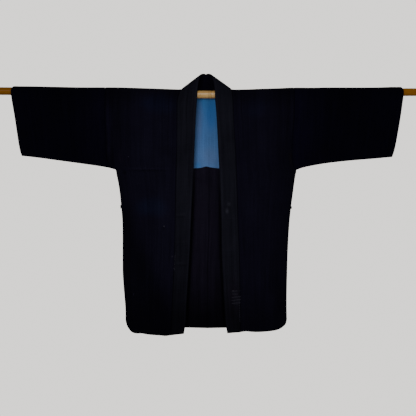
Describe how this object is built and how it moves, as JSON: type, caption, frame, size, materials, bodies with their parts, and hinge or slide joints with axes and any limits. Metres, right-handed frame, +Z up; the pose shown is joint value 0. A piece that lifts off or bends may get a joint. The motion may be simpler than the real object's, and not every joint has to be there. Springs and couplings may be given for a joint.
{
  "type": "hanten jacket on a rod",
  "caption": "Open-fronted cotton work jacket with a long collar band and wide sleeves, hanging flat on a round rod that runs through both sleeves.",
  "frame": {"origin": "middle of the rod's axis, where the rod carries the jacket", "axes": "+X along the rod towards the wearer's left sleeve, -Y out of the open front, +Z up"},
  "size_m": [1.4, 0.0384, 0.829],
  "materials": {
    "rod_wood": "pale brown wood, satin, worn",
    "collar_cotton": "worn blue-black cotton, matt",
    "body_cotton": "deep indigo hand-woven cotton, matt",
    "sleeve_cotton": "deep indigo hand-woven cotton, matt",
    "lining_cotton": "mid-blue plain cotton, faded, matt"
  },
  "bodies": {
    "root": {"rod_right": "rod_wood", "rod_left": "rod_wood", "collar_band": "collar_cotton", "body_right": "body_cotton", "body_left": "body_cotton", "sleeve_right": "sleeve_cotton", "sleeve_left": "sleeve_cotton", "shoulder_lining_right": "lining_cotton", "shoulder_lining_left": "lining_cotton"}
  },
  "joints": []
}
